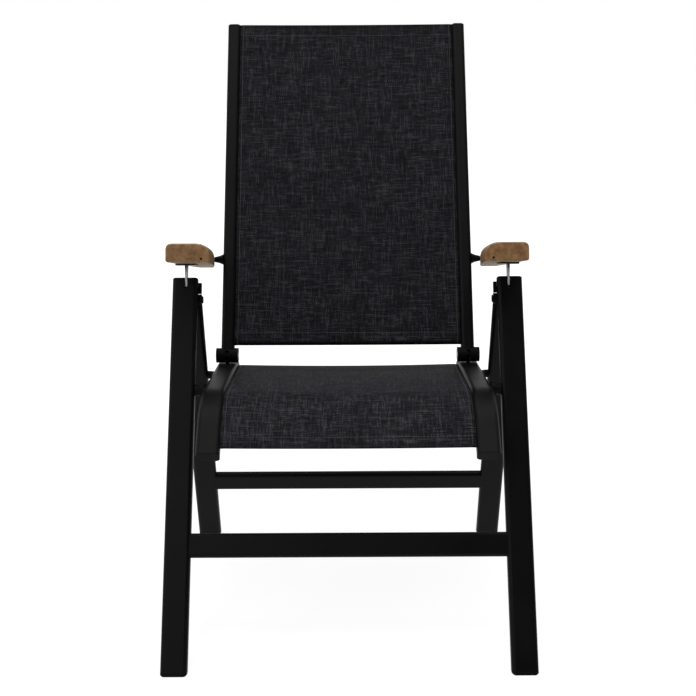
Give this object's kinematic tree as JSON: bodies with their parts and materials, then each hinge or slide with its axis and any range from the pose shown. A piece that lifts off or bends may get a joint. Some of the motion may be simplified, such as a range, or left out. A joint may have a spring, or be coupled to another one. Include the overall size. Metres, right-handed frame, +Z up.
{
  "type": "reclining garden armchair",
  "caption": "Folding high-back garden armchair with a tube frame, mesh seat and back, wooden arms and a backrest that reclines in steps.",
  "frame": {"origin": "centre of the bounding box at floor level", "axes": "+X across the chair, +Y to the rear, +Z up; the sitter looks towards -Y"},
  "size_m": [0.6276, 0.755, 1.0476],
  "materials": {
    "frame_coat": "matt powder coat",
    "black_plastic": "moulded",
    "mesh_fabric": "woven mesh, two tone",
    "arm_wood": "oiled",
    "steel": "plain"
  },
  "bodies": {
    "base": {"front_leg_left": "frame_coat", "front_leg_right": "frame_coat", "leg_cap_left": "black_plastic", "leg_cap_right": "black_plastic", "front_foot_left": "black_plastic", "front_foot_right": "black_plastic", "hinge_bracket_left": "frame_coat", "hinge_bracket_right": "frame_coat", "seat_pivot_spacer_left": "black_plastic", "seat_pivot_spacer_right": "black_plastic", "front_stretcher": "frame_coat", "rear_hinge_bolts": "steel", "seat_pivot_bolts": "steel"},
    "rear_frame": {"rear_leg_left": "frame_coat", "rear_leg_right": "frame_coat", "rear_head_left": "black_plastic", "rear_head_right": "black_plastic", "rear_foot_left": "black_plastic", "rear_foot_right": "black_plastic", "rear_stretcher": "frame_coat", "stay_bolts": "steel"},
    "seat": {"seat_rail_left": "frame_coat", "seat_rail_right": "frame_coat", "seat_front_plug_left": "black_plastic", "seat_front_plug_right": "black_plastic", "seat_rear_plug_left": "black_plastic", "seat_rear_plug_right": "black_plastic", "seat_hinge_lug_left": "frame_coat", "seat_hinge_lug_right": "frame_coat", "stay_lug_left": "frame_coat", "stay_lug_right": "frame_coat", "seat_front_crossbar": "frame_coat", "seat_rear_crossbar": "frame_coat", "seat_fabric": "mesh_fabric"},
    "stays": {"stay_link_left": "steel", "stay_link_right": "steel"},
    "axles": {"hinge_axles": "steel"},
    "back": {"hinge_knuckle_left": "black_plastic", "hinge_knuckle_right": "black_plastic", "back_rail_left": "frame_coat", "back_rail_right": "frame_coat", "back_top_cap_left": "black_plastic", "back_top_cap_right": "black_plastic", "rest_pin_left": "steel", "rest_pin_right": "steel", "pin_cone_left": "black_plastic", "pin_cone_right": "black_plastic", "back_lower_crossbar": "frame_coat", "back_upper_crossbar": "frame_coat", "back_fabric": "mesh_fabric"},
    "arm_pins": {"arm_pivot_pins": "steel"},
    "arms": {"arm_left": "arm_wood", "arm_right": "arm_wood", "arm_rack_left": "black_plastic", "arm_rack_right": "black_plastic", "arm_bracket_left": "steel", "arm_bracket_right": "steel", "arm_screws": "steel"}
  },
  "joints": [
    {"name": "fold", "type": "hinge", "parent": "base", "child": "seat", "pos_m": [0, -0.14807, 0.4226], "axis": [-1, 0, 0], "range_deg": [0, 93]},
    {"name": "rear_legs", "type": "hinge", "parent": "base", "child": "rear_frame", "pos_m": [0, -0.05165, 0.56298], "axis": [-1, 0, 0], "range_deg": [0, 50.8]},
    {"name": "stay_turn", "type": "hinge", "parent": "seat", "child": "stays", "pos_m": [0, -0.07023, 0.3775], "axis": [1, 0, 0], "range_deg": [0, 121.8]},
    {"name": "back_carry", "type": "hinge", "parent": "seat", "child": "axles", "pos_m": [0, 0.05025, 0.42959], "axis": [1, 0, 0], "range_deg": [0, 93.5]},
    {"name": "recline", "type": "hinge", "parent": "axles", "child": "back", "pos_m": [0, 0.05025, 0.42959], "axis": [-1, 0, 0], "range_deg": [0, 31]},
    {"name": "arm_carry", "type": "hinge", "parent": "base", "child": "arm_pins", "pos_m": [0, -0.06017, 0.59217], "axis": [-1, 0, 0], "range_deg": [0, 93.5]},
    {"name": "arm_tilt", "type": "hinge", "parent": "arm_pins", "child": "arms", "pos_m": [0, -0.06017, 0.59217], "axis": [-1, 0, 0], "range_deg": [0, 10.2]}
  ],
  "couplings": [
    {"joint": "rear_legs", "follows": "fold", "ratio": 0.546},
    {"joint": "stay_turn", "follows": "fold", "ratio": 1.309},
    {"joint": "back_carry", "follows": "fold", "ratio": 1},
    {"joint": "arm_carry", "follows": "fold", "ratio": 1},
    {"joint": "arm_tilt", "follows": "recline", "ratio": 0.328}
  ]
}
